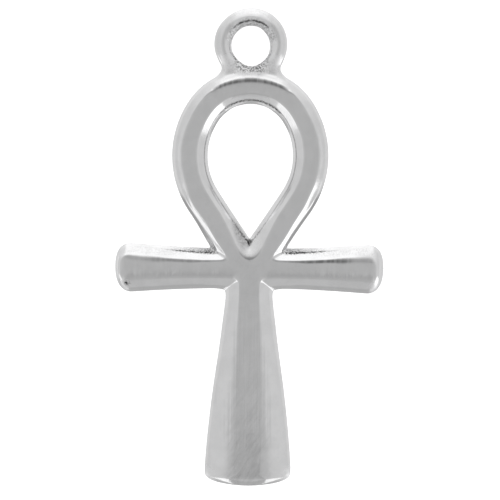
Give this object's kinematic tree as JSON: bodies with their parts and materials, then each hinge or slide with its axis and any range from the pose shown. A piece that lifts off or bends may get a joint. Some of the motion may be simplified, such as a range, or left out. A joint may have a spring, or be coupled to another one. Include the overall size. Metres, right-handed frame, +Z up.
{
  "type": "ankh pendant",
  "caption": "Polished silver ankh pendant cast in one piece: teardrop loop, flared arms and stem, and an eye ring on top for a jump ring or cord.",
  "frame": {"origin": "on the surface that the pendant lies on, under the middle of its length and width", "axes": "+Z up out of the front face of the lying pendant, +Y along the stem towards the eye ring, +X along the right arm"},
  "size_m": [0.0214, 0.038, 0.002],
  "materials": {
    "silver": "polished silver plate with faint polishing marks"
  },
  "bodies": {
    "root": {"ankh_pendant": "silver"}
  },
  "joints": []
}
